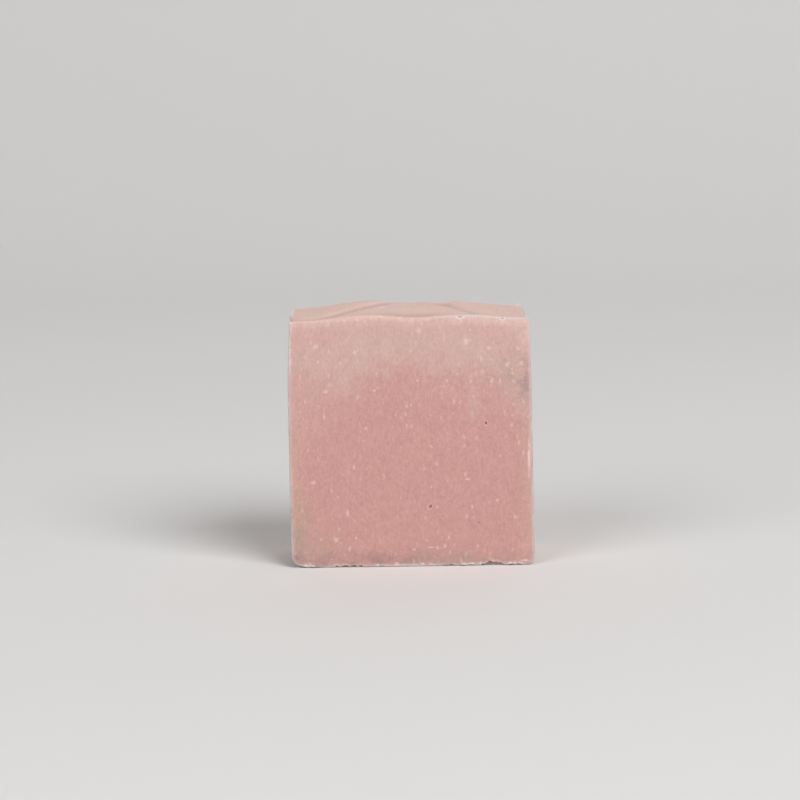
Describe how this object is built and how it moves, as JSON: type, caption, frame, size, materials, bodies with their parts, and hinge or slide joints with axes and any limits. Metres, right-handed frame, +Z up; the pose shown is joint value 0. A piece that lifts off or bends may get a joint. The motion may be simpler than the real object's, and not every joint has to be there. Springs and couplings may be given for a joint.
{
  "type": "bar of soap",
  "caption": "Hand-cut square bar of soap with a folded, crowned crust on top, rounded mould corners at its foot and flat cut faces.",
  "frame": {"origin": "middle of the base that the bar stands on", "axes": "+X to the right across the bar, +Y through its thickness away from the front cut, +Z up towards the crust"},
  "size_m": [0.07, 0.025, 0.0739],
  "materials": {
    "soap": "matt pink soap, paler at the crust and the moulded skin"
  },
  "bodies": {
    "root": {"soap_bar": "soap"}
  },
  "joints": []
}
